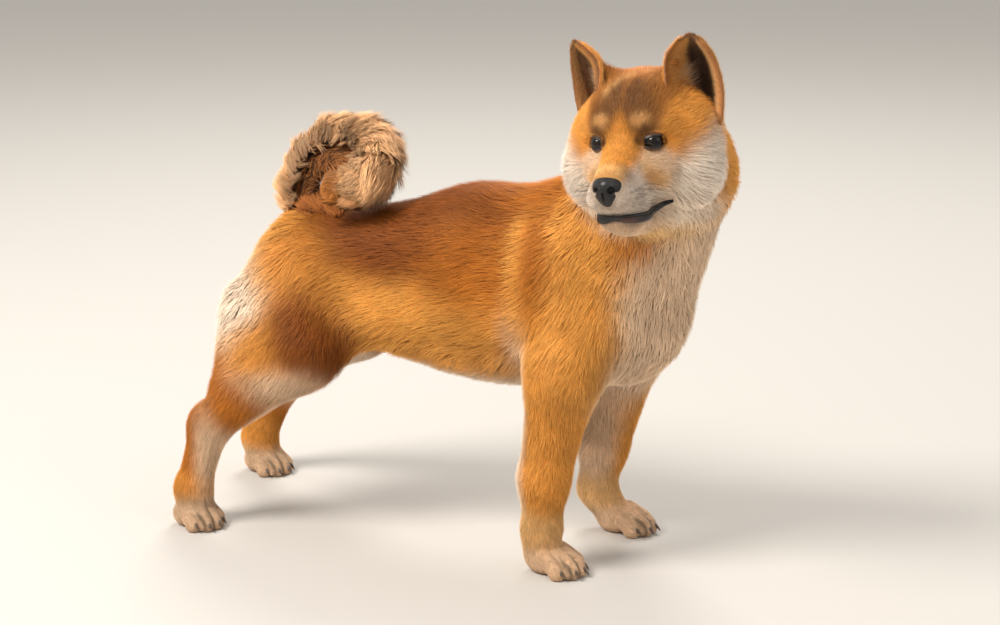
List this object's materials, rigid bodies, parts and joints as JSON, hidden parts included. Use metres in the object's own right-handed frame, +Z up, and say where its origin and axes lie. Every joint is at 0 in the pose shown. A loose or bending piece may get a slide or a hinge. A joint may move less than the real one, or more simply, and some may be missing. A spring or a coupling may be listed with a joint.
{
  "type": "shiba inu model",
  "caption": "Life-size still model of a shiba inu standing with its head turned to its right and its bushy tail curled over its back.",
  "frame": {"origin": "on the floor, at the centre of the outline seen from above", "axes": "+X along the body towards the chest, +Y to the dog's left, +Z up from the floor"},
  "size_m": [0.6386, 0.3047, 0.5352],
  "materials": {
    "red_coat": "matt short fur",
    "cream_coat": "matt dense fur",
    "tail_coat": "matt long fur",
    "nose_leather": "moist, finely grained",
    "eye_surface": "wet gloss"
  },
  "bodies": {
    "root": {"head": "red_coat", "lower_jaw": "cream_coat", "nose": "nose_leather", "eye_left": "eye_surface", "eye_right": "eye_surface", "ear_left": "red_coat", "ear_right": "red_coat", "neck": "cream_coat", "chest": "red_coat", "loin": "red_coat", "tail_base": "tail_coat", "tail_arch": "tail_coat", "tail_fan": "tail_coat", "tail_tip": "tail_coat", "foreleg_left": "red_coat", "foreleg_right": "red_coat", "forepaw_left": "cream_coat", "forepaw_right": "cream_coat", "thigh_left": "red_coat", "thigh_right": "red_coat", "shank_left": "red_coat", "shank_right": "red_coat", "hindpaw_left": "cream_coat", "hindpaw_right": "cream_coat"}
  },
  "joints": []
}
